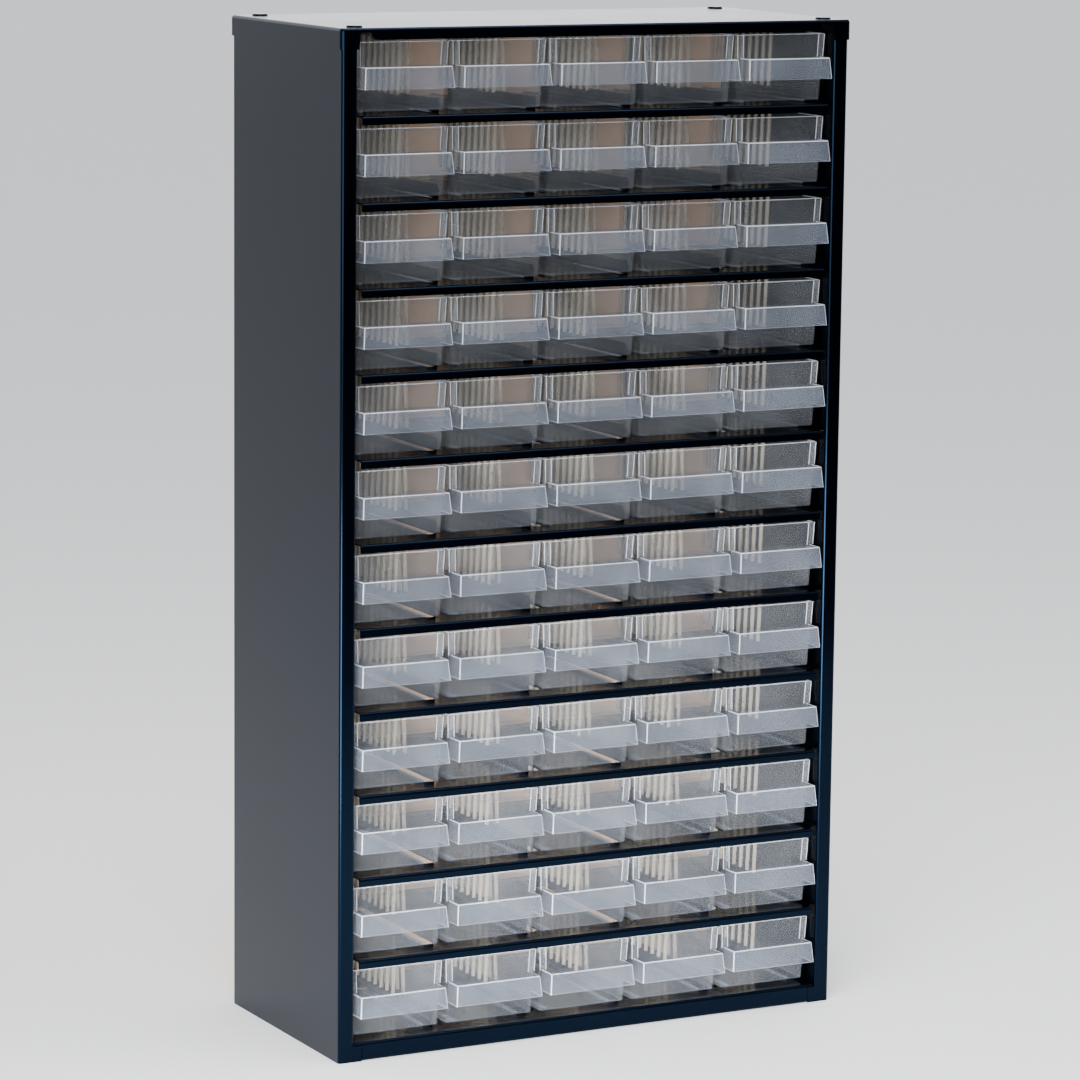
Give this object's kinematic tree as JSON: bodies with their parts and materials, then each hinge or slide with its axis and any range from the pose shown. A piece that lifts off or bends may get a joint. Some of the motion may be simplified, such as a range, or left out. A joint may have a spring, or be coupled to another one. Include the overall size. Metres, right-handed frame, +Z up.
{
  "type": "small parts bin cabinet",
  "caption": "Upright sheet steel small-parts cabinet with rows of narrow clear plastic drawers that slide out between guide fins on folded steel shelves.",
  "frame": {"origin": "centre of the footprint on the floor, drawer handles included", "axes": "+Z up, drawer fronts face -Y, +X to the right seen from the front"},
  "size_m": [0.306, 0.142, 0.55],
  "materials": {
    "navy_steel": "gloss dark navy paint on folded sheet steel",
    "hardboard": "smooth tan hardboard",
    "clear_plastic": "milky clear moulded polypropylene"
  },
  "bodies": {
    "cabinet": {"left_side": "navy_steel", "right_side": "navy_steel", "top_cap": "navy_steel", "back_panel": "hardboard", "base_panel": "navy_steel", "shelves": "navy_steel"},
    "drawer_01_1_body": {"drawer_01_1": "clear_plastic"},
    "drawer_01_2_body": {"drawer_01_2": "clear_plastic"},
    "drawer_01_3_body": {"drawer_01_3": "clear_plastic"},
    "drawer_01_4_body": {"drawer_01_4": "clear_plastic"},
    "drawer_01_5_body": {"drawer_01_5": "clear_plastic"},
    "drawer_02_1_body": {"drawer_02_1": "clear_plastic"},
    "drawer_02_2_body": {"drawer_02_2": "clear_plastic"},
    "drawer_02_3_body": {"drawer_02_3": "clear_plastic"},
    "drawer_02_4_body": {"drawer_02_4": "clear_plastic"},
    "drawer_02_5_body": {"drawer_02_5": "clear_plastic"},
    "drawer_03_1_body": {"drawer_03_1": "clear_plastic"},
    "drawer_03_2_body": {"drawer_03_2": "clear_plastic"},
    "drawer_03_3_body": {"drawer_03_3": "clear_plastic"},
    "drawer_03_4_body": {"drawer_03_4": "clear_plastic"},
    "drawer_03_5_body": {"drawer_03_5": "clear_plastic"},
    "drawer_04_1_body": {"drawer_04_1": "clear_plastic"},
    "drawer_04_2_body": {"drawer_04_2": "clear_plastic"},
    "drawer_04_3_body": {"drawer_04_3": "clear_plastic"},
    "drawer_04_4_body": {"drawer_04_4": "clear_plastic"},
    "drawer_04_5_body": {"drawer_04_5": "clear_plastic"},
    "drawer_05_1_body": {"drawer_05_1": "clear_plastic"},
    "drawer_05_2_body": {"drawer_05_2": "clear_plastic"},
    "drawer_05_3_body": {"drawer_05_3": "clear_plastic"},
    "drawer_05_4_body": {"drawer_05_4": "clear_plastic"},
    "drawer_05_5_body": {"drawer_05_5": "clear_plastic"},
    "drawer_06_1_body": {"drawer_06_1": "clear_plastic"},
    "drawer_06_2_body": {"drawer_06_2": "clear_plastic"},
    "drawer_06_3_body": {"drawer_06_3": "clear_plastic"},
    "drawer_06_4_body": {"drawer_06_4": "clear_plastic"},
    "drawer_06_5_body": {"drawer_06_5": "clear_plastic"},
    "drawer_07_1_body": {"drawer_07_1": "clear_plastic"},
    "drawer_07_2_body": {"drawer_07_2": "clear_plastic"},
    "drawer_07_3_body": {"drawer_07_3": "clear_plastic"},
    "drawer_07_4_body": {"drawer_07_4": "clear_plastic"},
    "drawer_07_5_body": {"drawer_07_5": "clear_plastic"},
    "drawer_08_1_body": {"drawer_08_1": "clear_plastic"},
    "drawer_08_2_body": {"drawer_08_2": "clear_plastic"},
    "drawer_08_3_body": {"drawer_08_3": "clear_plastic"},
    "drawer_08_4_body": {"drawer_08_4": "clear_plastic"},
    "drawer_08_5_body": {"drawer_08_5": "clear_plastic"},
    "drawer_09_1_body": {"drawer_09_1": "clear_plastic"},
    "drawer_09_2_body": {"drawer_09_2": "clear_plastic"},
    "drawer_09_3_body": {"drawer_09_3": "clear_plastic"},
    "drawer_09_4_body": {"drawer_09_4": "clear_plastic"},
    "drawer_09_5_body": {"drawer_09_5": "clear_plastic"},
    "drawer_10_1_body": {"drawer_10_1": "clear_plastic"},
    "drawer_10_2_body": {"drawer_10_2": "clear_plastic"},
    "drawer_10_3_body": {"drawer_10_3": "clear_plastic"},
    "drawer_10_4_body": {"drawer_10_4": "clear_plastic"},
    "drawer_10_5_body": {"drawer_10_5": "clear_plastic"},
    "drawer_row_11_body": {"drawer_row_11": "clear_plastic"},
    "drawer_row_12_body": {"drawer_row_12": "clear_plastic"}
  },
  "joints": [
    {"name": "drawer_01_1_slide", "type": "slide", "parent": "cabinet", "child": "drawer_01_1_body", "axis": [0, -1, 0], "range_m": [0, 0.11]},
    {"name": "drawer_01_2_slide", "type": "slide", "parent": "cabinet", "child": "drawer_01_2_body", "axis": [0, -1, 0], "range_m": [0, 0.11]},
    {"name": "drawer_01_3_slide", "type": "slide", "parent": "cabinet", "child": "drawer_01_3_body", "axis": [0, -1, 0], "range_m": [0, 0.11]},
    {"name": "drawer_01_4_slide", "type": "slide", "parent": "cabinet", "child": "drawer_01_4_body", "axis": [0, -1, 0], "range_m": [0, 0.11]},
    {"name": "drawer_01_5_slide", "type": "slide", "parent": "cabinet", "child": "drawer_01_5_body", "axis": [0, -1, 0], "range_m": [0, 0.11]},
    {"name": "drawer_02_1_slide", "type": "slide", "parent": "cabinet", "child": "drawer_02_1_body", "axis": [0, -1, 0], "range_m": [0, 0.11]},
    {"name": "drawer_02_2_slide", "type": "slide", "parent": "cabinet", "child": "drawer_02_2_body", "axis": [0, -1, 0], "range_m": [0, 0.11]},
    {"name": "drawer_02_3_slide", "type": "slide", "parent": "cabinet", "child": "drawer_02_3_body", "axis": [0, -1, 0], "range_m": [0, 0.11]},
    {"name": "drawer_02_4_slide", "type": "slide", "parent": "cabinet", "child": "drawer_02_4_body", "axis": [0, -1, 0], "range_m": [0, 0.11]},
    {"name": "drawer_02_5_slide", "type": "slide", "parent": "cabinet", "child": "drawer_02_5_body", "axis": [0, -1, 0], "range_m": [0, 0.11]},
    {"name": "drawer_03_1_slide", "type": "slide", "parent": "cabinet", "child": "drawer_03_1_body", "axis": [0, -1, 0], "range_m": [0, 0.11]},
    {"name": "drawer_03_2_slide", "type": "slide", "parent": "cabinet", "child": "drawer_03_2_body", "axis": [0, -1, 0], "range_m": [0, 0.11]},
    {"name": "drawer_03_3_slide", "type": "slide", "parent": "cabinet", "child": "drawer_03_3_body", "axis": [0, -1, 0], "range_m": [0, 0.11]},
    {"name": "drawer_03_4_slide", "type": "slide", "parent": "cabinet", "child": "drawer_03_4_body", "axis": [0, -1, 0], "range_m": [0, 0.11]},
    {"name": "drawer_03_5_slide", "type": "slide", "parent": "cabinet", "child": "drawer_03_5_body", "axis": [0, -1, 0], "range_m": [0, 0.11]},
    {"name": "drawer_04_1_slide", "type": "slide", "parent": "cabinet", "child": "drawer_04_1_body", "axis": [0, -1, 0], "range_m": [0, 0.11]},
    {"name": "drawer_04_2_slide", "type": "slide", "parent": "cabinet", "child": "drawer_04_2_body", "axis": [0, -1, 0], "range_m": [0, 0.11]},
    {"name": "drawer_04_3_slide", "type": "slide", "parent": "cabinet", "child": "drawer_04_3_body", "axis": [0, -1, 0], "range_m": [0, 0.11]},
    {"name": "drawer_04_4_slide", "type": "slide", "parent": "cabinet", "child": "drawer_04_4_body", "axis": [0, -1, 0], "range_m": [0, 0.11]},
    {"name": "drawer_04_5_slide", "type": "slide", "parent": "cabinet", "child": "drawer_04_5_body", "axis": [0, -1, 0], "range_m": [0, 0.11]},
    {"name": "drawer_05_1_slide", "type": "slide", "parent": "cabinet", "child": "drawer_05_1_body", "axis": [0, -1, 0], "range_m": [0, 0.11]},
    {"name": "drawer_05_2_slide", "type": "slide", "parent": "cabinet", "child": "drawer_05_2_body", "axis": [0, -1, 0], "range_m": [0, 0.11]},
    {"name": "drawer_05_3_slide", "type": "slide", "parent": "cabinet", "child": "drawer_05_3_body", "axis": [0, -1, 0], "range_m": [0, 0.11]},
    {"name": "drawer_05_4_slide", "type": "slide", "parent": "cabinet", "child": "drawer_05_4_body", "axis": [0, -1, 0], "range_m": [0, 0.11]},
    {"name": "drawer_05_5_slide", "type": "slide", "parent": "cabinet", "child": "drawer_05_5_body", "axis": [0, -1, 0], "range_m": [0, 0.11]},
    {"name": "drawer_06_1_slide", "type": "slide", "parent": "cabinet", "child": "drawer_06_1_body", "axis": [0, -1, 0], "range_m": [0, 0.11]},
    {"name": "drawer_06_2_slide", "type": "slide", "parent": "cabinet", "child": "drawer_06_2_body", "axis": [0, -1, 0], "range_m": [0, 0.11]},
    {"name": "drawer_06_3_slide", "type": "slide", "parent": "cabinet", "child": "drawer_06_3_body", "axis": [0, -1, 0], "range_m": [0, 0.11]},
    {"name": "drawer_06_4_slide", "type": "slide", "parent": "cabinet", "child": "drawer_06_4_body", "axis": [0, -1, 0], "range_m": [0, 0.11]},
    {"name": "drawer_06_5_slide", "type": "slide", "parent": "cabinet", "child": "drawer_06_5_body", "axis": [0, -1, 0], "range_m": [0, 0.11]},
    {"name": "drawer_07_1_slide", "type": "slide", "parent": "cabinet", "child": "drawer_07_1_body", "axis": [0, -1, 0], "range_m": [0, 0.11]},
    {"name": "drawer_07_2_slide", "type": "slide", "parent": "cabinet", "child": "drawer_07_2_body", "axis": [0, -1, 0], "range_m": [0, 0.11]},
    {"name": "drawer_07_3_slide", "type": "slide", "parent": "cabinet", "child": "drawer_07_3_body", "axis": [0, -1, 0], "range_m": [0, 0.11]},
    {"name": "drawer_07_4_slide", "type": "slide", "parent": "cabinet", "child": "drawer_07_4_body", "axis": [0, -1, 0], "range_m": [0, 0.11]},
    {"name": "drawer_07_5_slide", "type": "slide", "parent": "cabinet", "child": "drawer_07_5_body", "axis": [0, -1, 0], "range_m": [0, 0.11]},
    {"name": "drawer_08_1_slide", "type": "slide", "parent": "cabinet", "child": "drawer_08_1_body", "axis": [0, -1, 0], "range_m": [0, 0.11]},
    {"name": "drawer_08_2_slide", "type": "slide", "parent": "cabinet", "child": "drawer_08_2_body", "axis": [0, -1, 0], "range_m": [0, 0.11]},
    {"name": "drawer_08_3_slide", "type": "slide", "parent": "cabinet", "child": "drawer_08_3_body", "axis": [0, -1, 0], "range_m": [0, 0.11]},
    {"name": "drawer_08_4_slide", "type": "slide", "parent": "cabinet", "child": "drawer_08_4_body", "axis": [0, -1, 0], "range_m": [0, 0.11]},
    {"name": "drawer_08_5_slide", "type": "slide", "parent": "cabinet", "child": "drawer_08_5_body", "axis": [0, -1, 0], "range_m": [0, 0.11]},
    {"name": "drawer_09_1_slide", "type": "slide", "parent": "cabinet", "child": "drawer_09_1_body", "axis": [0, -1, 0], "range_m": [0, 0.11]},
    {"name": "drawer_09_2_slide", "type": "slide", "parent": "cabinet", "child": "drawer_09_2_body", "axis": [0, -1, 0], "range_m": [0, 0.11]},
    {"name": "drawer_09_3_slide", "type": "slide", "parent": "cabinet", "child": "drawer_09_3_body", "axis": [0, -1, 0], "range_m": [0, 0.11]},
    {"name": "drawer_09_4_slide", "type": "slide", "parent": "cabinet", "child": "drawer_09_4_body", "axis": [0, -1, 0], "range_m": [0, 0.11]},
    {"name": "drawer_09_5_slide", "type": "slide", "parent": "cabinet", "child": "drawer_09_5_body", "axis": [0, -1, 0], "range_m": [0, 0.11]},
    {"name": "drawer_10_1_slide", "type": "slide", "parent": "cabinet", "child": "drawer_10_1_body", "axis": [0, -1, 0], "range_m": [0, 0.11]},
    {"name": "drawer_10_2_slide", "type": "slide", "parent": "cabinet", "child": "drawer_10_2_body", "axis": [0, -1, 0], "range_m": [0, 0.11]},
    {"name": "drawer_10_3_slide", "type": "slide", "parent": "cabinet", "child": "drawer_10_3_body", "axis": [0, -1, 0], "range_m": [0, 0.11]},
    {"name": "drawer_10_4_slide", "type": "slide", "parent": "cabinet", "child": "drawer_10_4_body", "axis": [0, -1, 0], "range_m": [0, 0.11]},
    {"name": "drawer_10_5_slide", "type": "slide", "parent": "cabinet", "child": "drawer_10_5_body", "axis": [0, -1, 0], "range_m": [0, 0.11]},
    {"name": "drawer_row_11_slide", "type": "slide", "parent": "cabinet", "child": "drawer_row_11_body", "axis": [0, -1, 0], "range_m": [0, 0.11]},
    {"name": "drawer_row_12_slide", "type": "slide", "parent": "cabinet", "child": "drawer_row_12_body", "axis": [0, -1, 0], "range_m": [0, 0.11]}
  ]
}
